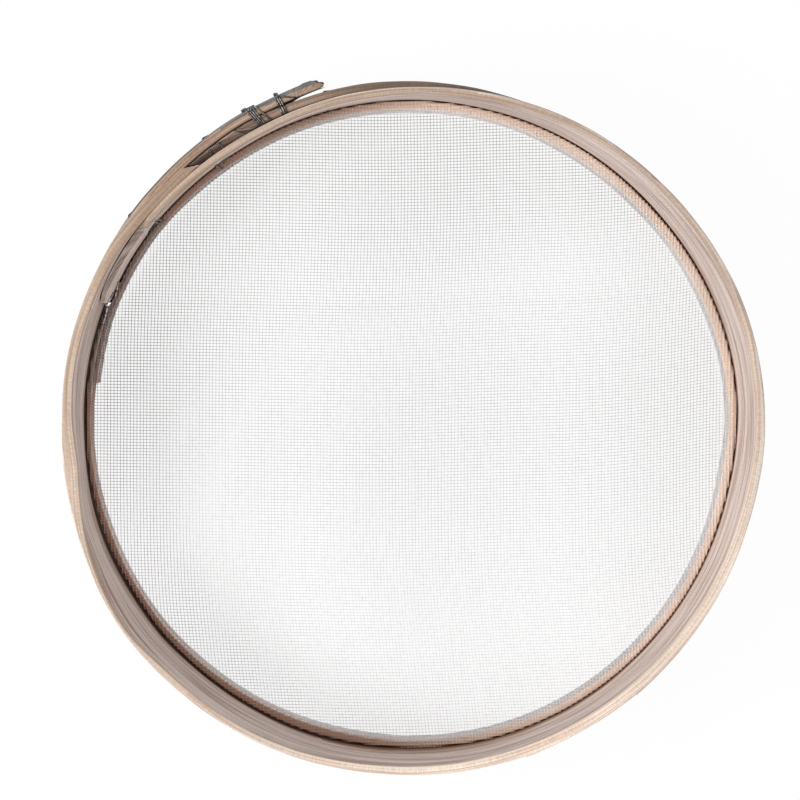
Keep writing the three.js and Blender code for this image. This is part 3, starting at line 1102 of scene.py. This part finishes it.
def without(tree, geometry, selection, domain):
    """Delete points, or edges with their faces."""
    inputs = {"Geometry": geometry, "Selection": selection}
    made = put(tree, "GeometryNodeDeleteGeometry", inputs, domain=domain)
    made.mode = "EDGE_FACE" if domain == "EDGE" else "ALL"
    return made.outputs[0]


def swept_wire(tree, line, diameter, sides, finish):
    """A round wire along a curve, as a real mesh in its finish."""
    half = reckon(tree, "MULTIPLY", diameter, 0.5)
    profile = put(tree, "GeometryNodeCurvePrimitiveCircle", {"Resolution": sides, "Radius": half}).outputs[0]
    inputs = {"Curve": line, "Profile Curve": profile, "Fill Caps": True}
    made = put(tree, "GeometryNodeCurveToMesh", inputs).outputs[0]
    made = put(tree, "GeometryNodeSetShadeSmooth", {"Geometry": made, "Shade Smooth": True}).outputs[0]
    made = put(tree, "GeometryNodeRealizeInstances", {"Geometry": made}).outputs[0]
    return put(tree, "GeometryNodeSetMaterial", {"Geometry": made, "Material": finish}).outputs[0]


print("helpers for geometry:", curve_of.__name__, without.__name__, swept_wire.__name__)


# %% Crossings of the cloth
# Bows of the wires, in shares of the reach and of the bow range: of uprights from bottom to top, and
# of level wires from left to right
bow_low, bow_high = -3 * MM, 13 * MM
upright_bow = [
    (0.0, 0.8), (0.1, 0.58), (0.2, 0.36), (0.3, 0.21), (0.4, 0.18), (0.5, 0.19), (0.6, 0.21), (0.7, 0.28),
    (0.8, 0.33), (0.9, 0.32), (1.0, 0.28),
]
level_bow = [
    (0.0, 0.32), (0.12, 0.28), (0.24, 0.24), (0.34, 0.2), (0.44, 0.17), (0.5, 0.19), (0.63, 0.28),
    (0.73, 0.345), (0.83, 0.51), (0.91, 0.75), (1.0, 0.97),
]
# The cloth's seat round the wall, in shares of a round and of the drift between its least and most radius
seat_places = (*range(0, 355, 6), draw_start, draw_end, 360)
seat_least = min(cloth_seat(turn) for turn in seat_places)
seat_drift = max(cloth_seat(turn) for turn in seat_places) - seat_least
seat_curve = [(turn / 360, (cloth_seat(turn) - seat_least) / seat_drift) for turn in seat_places]


def crossing_grid(tree, given):
    """A grid with a point at each crossing, the place of a point, and the number of its column and row."""
    inputs = {}
    for axis, pitch in (("X", "Upright pitch"), ("Y", "Level pitch")):
        half = reckon(tree, "CEIL", reckon(tree, "DIVIDE", given["Reach"], given[pitch]))
        count = reckon(tree, "MULTIPLY_ADD", half, 2.0, 1.0)
        gaps = reckon(tree, "SUBTRACT", count, 1.0)
        inputs[f"Vertices {axis}"] = count
        inputs[f"Size {axis}"] = reckon(tree, "MULTIPLY", gaps, given[pitch])
    grid = put(tree, "GeometryNodeMeshGrid", inputs).outputs["Mesh"]
    x, y, _ = parts_of(tree, put(tree, "GeometryNodeInputPosition").outputs[0])
    column = reckon(tree, "ROUND", reckon(tree, "DIVIDE", x, given["Upright pitch"]))
    row = reckon(tree, "ROUND", reckon(tree, "DIVIDE", y, given["Level pitch"]))
    return grid, x, y, column, row


def bowed(tree, value, along, reach, bow):
    """A wire's place across, moved by its bow at this place along it."""
    share = spread(tree, along, reckon(tree, "MULTIPLY", reach, -1.0), reach, kind="LINEAR")
    moved = spread(tree, curve_of(tree, share, bow), 0.0, 1.0, bow_low, bow_high, "LINEAR")
    return reckon(tree, "ADD", value, moved)


def seat_radius(tree, given, x, y):
    """Radius of the cloth's seat in the direction of a point."""
    back = reckon(tree, "SUBTRACT", math.radians(wall_start), reckon(tree, "ARCTAN2", y, x))
    turned = reckon(tree, "FRACT", reckon(tree, "DIVIDE", back, 2 * math.pi))
    share = curve_of(tree, turned, seat_curve, straight=True)
    return reckon(tree, "MULTIPLY_ADD", share, given["Seat drift"], given["Seat radius"])


def bent_down(tree, given, radius, seat):
    """How far the bend at the seat scales a point's radius, and how far it lowers it."""
    bend = given["Bend radius"]
    flat = reckon(tree, "SUBTRACT", seat, bend)
    over = reckon(tree, "SUBTRACT", radius, flat)
    inputs = {"Value": reckon(tree, "DIVIDE", over, bend), "Min": 0.0, "Max": math.pi / 2}
    bent = put(tree, "ShaderNodeClamp", inputs).outputs[0]
    level_part = reckon(tree, "MINIMUM", radius, flat)
    out = reckon(tree, "MULTIPLY_ADD", reckon(tree, "SINE", bent), bend, level_part)
    scale = reckon(tree, "DIVIDE", out, reckon(tree, "MAXIMUM", radius, 0.1 * MM))
    drop = reckon(tree, "MULTIPLY", bend, reckon(tree, "SUBTRACT", 1.0, reckon(tree, "COSINE", bent)))
    straight = reckon(tree, "SUBTRACT", over, reckon(tree, "MULTIPLY", bend, math.pi / 2))
    return scale, reckon(tree, "ADD", drop, reckon(tree, "MAXIMUM", straight, 0.0))


print(f"cloth seat: {seat_least / MM:.1f} mm and up to {seat_drift / MM:.1f} mm more")


# %% Woven-cloth tree
cloth_sizes = (
    "Upright pitch", "Level pitch", "Reach", "Wire diameter", "Weave height", "Cloth height", "Seat radius",
    "Seat drift", "Bend radius", "Turned down",
)
cloth_inputs = {
    **dict.fromkeys(cloth_sizes, "Float"),
    "Level wires": "Bool",
    "Odd wires": "Bool",
    "Finish": "Material",
}
cloth_wire_sides = 4


def one_way_edges(tree, grid, level):
    """Keep the grid's edges that run along the wires of one way."""
    ends = put(tree, "GeometryNodeInputMeshEdgeVertices").outputs
    inputs = {0: ends["Position 1"], 1: ends["Position 2"]}
    step = put(tree, "ShaderNodeVectorMath", inputs, operation="SUBTRACT").outputs[0]
    sideways = is_more(tree, reckon(tree, "ABSOLUTE", parts_of(tree, step)[0]), 0.1 * MM)
    return without(tree, grid, logic(tree, "XOR", sideways, level), "EDGE")


def woven_cloth_tree():
    outputs = {"Cloth": "Geometry"}
    tree, given, result = new_group("woven_cloth", "GeometryNodeTree", cloth_inputs, outputs)
    level, reach = given["Level wires"], given["Reach"]
    grid, grid_x, grid_y, column, row = crossing_grid(tree, given)
    x = bowed(tree, grid_x, grid_y, reach, upright_bow)
    y = bowed(tree, grid_y, grid_x, reach, level_bow)
    squares = reckon(tree, "ADD", reckon(tree, "MULTIPLY", x, x), reckon(tree, "MULTIPLY", y, y))
    radius = reckon(tree, "SQRT", squares)
    seat = seat_radius(tree, given, x, y)
    scale, drop = bent_down(tree, given, radius, seat)

    odd_crossing = reckon(tree, "FLOORED_MODULO", reckon(tree, "ADD", column, row), 2.0)
    side = reckon(tree, "MULTIPLY_ADD", odd_crossing, 2.0, -1.0)
    side = reckon(tree, "MULTIPLY", side, choose(tree, level, 1.0, -1.0))
    weave = reckon(tree, "MULTIPLY", side, given["Weave height"])
    z = reckon(tree, "ADD", reckon(tree, "SUBTRACT", given["Cloth height"], drop), weave)
    inputs = {0: reckon(tree, "MULTIPLY", x, scale), 1: reckon(tree, "MULTIPLY", y, scale), 2: z}
    place = put(tree, "ShaderNodeCombineXYZ", inputs).outputs[0]

    number = choose(tree, level, column, row)
    odd_wire = is_more(tree, reckon(tree, "FLOORED_MODULO", number, 2.0), 0.5)
    other_half = logic(tree, "XOR", odd_wire, given["Odd wires"])
    beyond = is_more(tree, radius, reckon(tree, "ADD", seat, given["Turned down"]))
    wires = one_way_edges(tree, grid, level)
    wires = without(tree, wires, logic(tree, "OR", other_half, beyond), "POINT")
    wires = put(tree, "GeometryNodeSetPosition", {"Geometry": wires, "Position": place}).outputs[0]
    line = put(tree, "GeometryNodeMeshToCurve", {"Mesh": wires}).outputs[0]
    cloth = swept_wire(tree, line, given["Wire diameter"], cloth_wire_sides, given["Finish"])
    fill_inputs(tree, result, {"Cloth": cloth})
    return tree


woven_cloth = woven_cloth_tree()
print("woven_cloth tree:", len(woven_cloth.nodes), "nodes")


# %% Wire cloth
def grown(name, tree, settings, start=None):
    """A plain mesh made by a node tree: set its inputs, evaluate it once, keep the result."""
    seedling = bpy.data.objects.new(name + "_seed", start or bpy.data.meshes.new(name + "_seed"))
    scene.collection.objects.link(seedling)
    modifier = seedling.modifiers.new("tree", "NODES")
    modifier.node_group = tree
    titles = {s.name: s.identifier for s in tree.interface.items_tree if s.in_out == "INPUT"}
    for title, value in settings.items():
        modifier[titles[title]] = value
    bpy.context.view_layer.update()
    evaluated = seedling.evaluated_get(bpy.context.evaluated_depsgraph_get())
    mesh = bpy.data.meshes.new_from_object(evaluated)
    mesh.name = name
    bpy.data.objects.remove(seedling)
    return mesh


cloth_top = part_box("wire_cloth")[1].z
cloth_settings = {
    "Upright pitch": 1.37 * MM,
    "Level pitch": 1.27 * MM,
    "Reach": 152 * MM,
    "Wire diameter": 0.26 * MM,
    "Weave height": 0.12 * MM,
    "Cloth height": cloth_top - 0.25 * MM,
    "Seat radius": seat_least,
    "Seat drift": seat_drift,
    "Bend radius": 0.25 * MM,
    "Turned down": 5 * MM,
    "Finish": cloth_wire,
}
for way, level in (("upright", False), ("level", True)):
    for half, odd in (("even", False), ("odd", True)):
        name = f"cloth_{way}_{half}"
        mesh = grown(name, woven_cloth, {**cloth_settings, "Level wires": level, "Odd wires": odd})
        add_piece(name, mesh, "cloth_wire", "wire_cloth", "cloth_margin")

# %% [markdown]
# ## The binding wires
#
# Ties and stitches are soft iron wire, bent by hand round sharp wood. A bevelled curve object would do for
# one of them, but there are many, and each has a few plain corners. So only the corners of each route are
# written down; a node tree rounds them and sweeps the wire along.

# %% Bound-wire tree
bound_wire_sides = 10
fillet_points = 4
wire_diameter = 0.6
wire_bend = 0.7 * MM


def bound_wire_tree():
    inputs = {"Route": "Geometry", "Wire diameter": "Float", "Bend radius": "Float", "Finish": "Material"}
    tree, given, result = new_group("bound_wire", "GeometryNodeTree", inputs, {"Wire": "Geometry"})
    line = put(tree, "GeometryNodeMeshToCurve", {"Mesh": given["Route"]}).outputs[0]
    inputs = {"Curve": line, "Count": fillet_points, "Radius": given["Bend radius"], "Limit Radius": True}
    line = put(tree, "GeometryNodeFilletCurve", inputs, mode="POLY").outputs[0]
    wire = swept_wire(tree, line, given["Wire diameter"], bound_wire_sides, given["Finish"])
    fill_inputs(tree, result, {"Wire": wire})
    return tree


bound_wire = bound_wire_tree()
print("bound_wire tree:", len(bound_wire.nodes), "nodes")


def placed(angle, out, across, z):
    """A point out from the axis, across towards the right of someone looking out, and up."""
    x, y, _ = polar(angle, out, 0)
    side_x, side_y, _ = polar(angle - 90, across, 0)
    return (x + side_x, y + side_y, z)


def wire_piece(name, routes, finish, *stands_for, diameter=wire_diameter * MM, slot="tie_wire"):
    points = []
    edges = []
    for corners in routes:
        edges += [(len(points) + k, len(points) + k + 1) for k in range(len(corners) - 1)]
        points += corners
    route = bpy.data.meshes.new(name + "_route")
    route.from_pydata(points, edges, [])
    settings = {"Wire diameter": diameter, "Bend radius": wire_bend, "Finish": finish}
    add_piece(name, grown(name, bound_wire, settings, route), slot, *stands_for)


# %% [markdown]
# ## Ties
#
# Each tie is one wire wound round both layers of the band's lap. It crosses the band's upper edge once for
# each strand, is gathered on the outside, and has its ends twisted round each other there. A helix would
# be too even, so the place of each crossing is written down, and a loop carries the strand round.

# %% Ties round the band's lap
tie_places = (11.5, 16.0)
# Where each strand of a tie crosses the band's upper edge: across, outside and inside, in millimetres
tie_crossings = (
    [(-2.3, 0.0), (-1.4, 0.8), (-0.4, 1.5), (0.7, 2.3), (1.6, 5.4)],
    [(-0.6, -0.3), (0.2, 0.7), (0.9, 1.7)],
)
tie_stand = 0.25 * MM
tie_inset = 0.35 * MM
tie_over = 0.3 * MM
tie_start = 6 * MM
wire_standoff = (layer_gap + wire_diameter / 2) * MM
twist_stand = 0.45 * MM
twist_radius = 0.36
twist_lift, twist_drop = 0.1, 1.6
twist_turns = 2.5
twist_points = 26


def tie_route(place, crossings):
    """Over the top from outside to inside and back under both layers, once for each strand."""
    angle = band_start - place
    inner = band_inner(place) - tie_inset
    outer = band_outside(360 + place) + tie_stand
    low, high = band_bottom - wire_standoff, band_top + tie_stand
    route = [placed(angle, outer, crossings[0][0] * MM, band_bottom + tie_start)]
    for number, (outside, inside) in enumerate(crossings):
        following = crossings[min(number + 1, len(crossings) - 1)][0]
        route.append(placed(angle, outer, outside * MM, high))
        route.append(placed(angle, inner, inside * MM, high))
        route.append(placed(angle, inner, inside * MM, low))
        route.append(placed(angle, outer, (outside + following) / 2 * MM, low))
    route.append(placed(angle, outer, crossings[-1][0] * MM, high))
    route.append(placed(angle, outer, crossings[0][0] * MM, high + tie_over))
    return route


def twisted_ends(place, across, length):
    """The two ends of a tie, twisted round each other and laid against the band's outer face."""
    angle = band_start - place
    outer = band_outside(360 + place) + twist_stand
    routes = []
    for phase in (0.0, math.pi):
        route = []
        for share in np.linspace(0, 1, twist_points):
            spin = phase + 2 * math.pi * twist_turns * share
            out = outer + twist_radius * MM * math.cos(spin)
            rise = twist_lift - twist_drop * share + twist_radius * math.sin(spin)
            route.append(placed(angle, out, (across + length * share) * MM, band_top + rise * MM))
        routes.append(route)
    return routes


def tie_tail(place):
    """A spare end laid over the outer layer's edge and tucked in behind it."""
    angle = band_start - place
    inner, outer = band_inside(360 + place), band_outside(360 + place)
    high = band_top + tie_stand
    return [
        placed(angle, outer - 0.9 * MM, 0.4 * MM, high + tie_over),
        placed(angle, outer - 1.9 * MM, 3.0 * MM, high),
        placed(angle, inner - 0.1 * MM, 8.0 * MM, high),
        placed(angle, inner - 0.1 * MM, 8.4 * MM, band_top - 3 * MM),
    ]


first_ends = twisted_ends(tie_places[0], -2.0, -1.9)
second_ends = [*twisted_ends(tie_places[1], -0.5, 1.2), tie_tail(tie_places[1])]
for number, ends in enumerate((first_ends, second_ends)):
    routes = [tie_route(tie_places[number], tie_crossings[number]), *ends]
    wire_piece(f"tie_wire_{number + 1}", routes, tie_wire, f"band_tie_{number + 1}")

# %% [markdown]
# ## Stitches
#
# Each stitch is a staple pushed through band and wall from outside, its two tails bent inside the bowl. No
# two tails were bent alike, so their corners are written down one by one. The first stitch's tails are the
# brightest, and the third staple, which crosses the open wedge of the band's lap, is thicker.

# %% Stitches through band and wall
stitch_places = (3.0, 15.3, 32.7, 54.0)
staple_diameters = (0.6, 0.6, 0.95, 0.6)
stitch_finishes = (tail_wire, tie_wire, tie_wire, tie_wire)
stitch_level = 19.0 * MM
tail_diameter = 0.7 * MM
leg_sink = 0.4 * MM
# How far across each leg of a staple stands, and how far it shows outside the band
staple_legs = ((-2.5 * MM, 0.25 * MM), (2.5 * MM, -0.6 * MM))
# Tails inside the bowl, in millimetres: across, in from the wall's face, and height
stitch_tails = (
    (
        [
            (-5.0, 0.5, 22.0), (-6.4, 0.2, 26.0), (-7.4, -1.2, 25.0), (-8.2, -1.0, 18.0), (-8.9, 0.3, 15.6),
            (-12.5, 1.0, 15.2), (-17.0, 1.6, 15.0),
        ],
        [(1.2, 0.6, 17.0), (-1.6, 0.9, 15.6), (-4.0, 1.6, 15.2)],
    ),
    (
        [(1.5, 0.45, 24.0), (2.2, 0.45, 30.0), (3.0, 0.7, 22.0), (2.6, 1.0, 15.8)],
        [(2.9, 0.45, 31.0), (3.7, 0.5, 32.0), (4.3, 0.7, 24.0), (4.6, 1.2, 16.0), (5.4, 2.6, 15.2)],
    ),
    (
        [(-3.6, 0.45, 26.0), (-4.3, 0.5, 27.0), (-4.0, 0.8, 20.0), (-3.2, 1.3, 15.8), (-2.6, 2.4, 15.2)],
        [(0.6, 0.45, 23.0), (-1.0, 0.45, 27.5), (-1.6, 0.7, 22.0), (-1.2, 1.2, 15.8)],
    ),
    ([(-2.6, 0.7, 17.4), (-2.9, 0.5, 15.8)], [(2.6, 0.7, 17.4), (2.9, 0.5, 15.8)]),
)


def stitch_routes(place, tails):
    """The staple itself, and the tails of its two legs."""
    angle = wall_start - place
    turn = place - band_offset
    outer = band_outside(turn + 360 if turn <= band_lap else turn)
    inner = wall_faces(place)[0](stitch_level)
    staple = []
    bent = []
    for (side, proud), tail in zip(staple_legs, tails):
        through = placed(angle, inner - leg_sink, side, stitch_level)
        leg = [through, placed(angle, outer + proud, side, stitch_level)]
        staple += leg if not staple else leg[::-1]
        corners = [placed(angle, inner - deep * MM, across * MM, z * MM) for across, deep, z in tail]
        bent.append([through, *corners])
    return staple, bent


for number, place in enumerate(stitch_places):
    staple, bent = stitch_routes(place, stitch_tails[number])
    node = f"band_stitch_{number + 1}"
    thick = staple_diameters[number] * MM
    wire_piece(f"stitch_wire_{number + 1}", [staple], staple_wire, node, diameter=thick)
    finish = stitch_finishes[number]
    wire_piece(f"stitch_tails_{number + 1}", bent, finish, node, diameter=tail_diameter)

# %% [markdown]
# ## Loose fibres
#
# Split wood sheds splinters. A few stand off the rim and the ring here, long and hair-thin, so they are
# swept from routes like the wires, in a pale wood of their own.


# %% Fibres
fibre_cells = 700.0


def fibre_finish():
    material, tree, shader = new_finish("fibre_wood")
    inputs = {"Vector": object_place(tree), "Scale": fibre_cells}
    tone = put(tree, "ShaderNodeTexNoise", inputs).outputs["Fac"]
    colour = blend_colours(tree, tone, srgb(214, 186, 160), srgb(246, 232, 214))
    fill_inputs(tree, shader, {"Base Color": colour, "Roughness": 0.7})
    return material


def along_rim(first, last, out, z, lift, count=7):
    """A splinter along the rim's outer edge, lifting a little at its far end."""
    route = []
    for share in np.linspace(0, 1, count):
        turn = first + (last - first) * share
        route.append(polar(wall_start - turn, rim_outer(turn) + (out + lift * share ** 2) * MM, z * MM))
    return route


# Shares of a curl's reach and rise, and how far in it stands, in millimetres
curl_corners = ((0, 0, 0), (0.35, 0.5, 0.5), (0.7, 1.2, 0.7), (1, 1.8, 0.3))


def loose_curl(turn, radius, z, reach, rise):
    """A short curl that stands off a face: along the strip, inwards and up."""
    angle = wall_start - turn
    return [
        placed(angle, (radius - deep) * MM, reach * along * MM, (z + rise * up) * MM)
        for along, up, deep in curl_corners
    ]


fibre_wood = fibre_finish()
splinters = [
    along_rim(200, 208, -0.1, 57.3, 0.35),
    along_rim(222, 229, -0.2, 57.5, 0.55),
    along_rim(281, 286, -0.3, 57.4, 0.3),
]
curls = [
    loose_curl(358.2, 138.3, 55.5, 2.4, 1.2),
    loose_curl(263.2, 136.6, 29.0, 4.5, -3.2),
    loose_curl(8, 133.6, 14.2, 2.4, 0.8),
    loose_curl(233, 136.4, 56.0, 1.6, 1.0),
]
wire_piece("wood_splinters", splinters, fibre_wood, diameter=0.45 * MM, slot="wall_wood")
wire_piece("wood_curls", curls, fibre_wood, diameter=0.3 * MM, slot="wall_wood")

# %% [markdown]
# ## Floor and light
#
# The sieve lies on white. A floor lit to pure white would need so much light that the wood would wash
# out, so the floor's material adds plain white for rays from the camera and keeps a share of real diffuse
# shade, which holds the shadow. The main lamp stands to the left and a little towards the viewer, which
# is where the dark side of the ring is; a pale sky fills in.

# %% Floor
floor_half = 1.5
floor_level = -0.05 * MM
floor_white = 0.965
floor_grey = (0.9, 0.9, 0.9, 1.0)
pure_white = (1.0, 1.0, 1.0, 1.0)


def seen_directly(tree):
    """1 for rays that should find a white ground: from the camera, from metal and through glass."""
    path = put(tree, "ShaderNodeLightPath").outputs
    seen = reckon(tree, "ADD", path["Is Camera Ray"], path["Is Glossy Ray"])
    return reckon(tree, "MINIMUM", reckon(tree, "ADD", seen, path["Is Transmission Ray"]), 1.0)


def white_floor_finish():
    material, tree, shader = new_finish("white_floor")
    tree.nodes.remove(shader)
    diffuse = put(tree, "ShaderNodeBsdfDiffuse", {"Color": floor_grey}).outputs[0]
    glow = put(tree, "ShaderNodeEmission", {"Color": pure_white, "Strength": 1.0}).outputs[0]
    share = reckon(tree, "MULTIPLY", seen_directly(tree), floor_white)
    ground = put(tree, "ShaderNodeMixShader", {0: share, 1: diffuse, 2: glow}).outputs[0]
    fill_inputs(tree, tree.nodes["Material Output"], {"Surface": ground})
    return material


floor_mesh = bpy.data.meshes.new("floor")
corners = [(x * floor_half, y * floor_half, floor_level) for x, y in ((-1, -1), (1, -1), (1, 1), (-1, 1))]
floor_mesh.from_pydata(corners, [], [(0, 1, 2, 3)])
floor_mesh.materials.append(white_floor_finish())
floor = bpy.data.objects.new("floor", floor_mesh)
scene.collection.objects.link(floor)
print(f"floor: {2 * floor_half:.0f} m across")

# %% Lamps and sky
sky_fill = 0.58
world = bpy.data.worlds.new("white_sky")
scene.world = world
world.use_nodes = True
sky = world.node_tree
strength = spread(sky, seen_directly(sky), 0, 1, sky_fill, 1.0, "LINEAR")
fill_inputs(sky, sky.nodes["Background"], {"Color": pure_white, "Strength": strength})


def lamp(name, angle, elevation, distance, size, power):
    """Angles in degrees, distance and size in metres, power in watts."""
    data = bpy.data.lights.new(name, "AREA")
    data.size = size
    data.energy = power
    made = bpy.data.objects.new(name, data)
    scene.collection.objects.link(made)
    flat = math.cos(math.radians(elevation)) * distance
    made.location = polar(angle, flat, math.sin(math.radians(elevation)) * distance)
    made.rotation_euler = (-Vector(made.location)).to_track_quat("-Z", "Y").to_euler()


lamp("key_lamp", -168, 42, 1.3, 0.5, 13)
lamp("fill_lamp", 40, 55, 1.5, 0.8, 3)
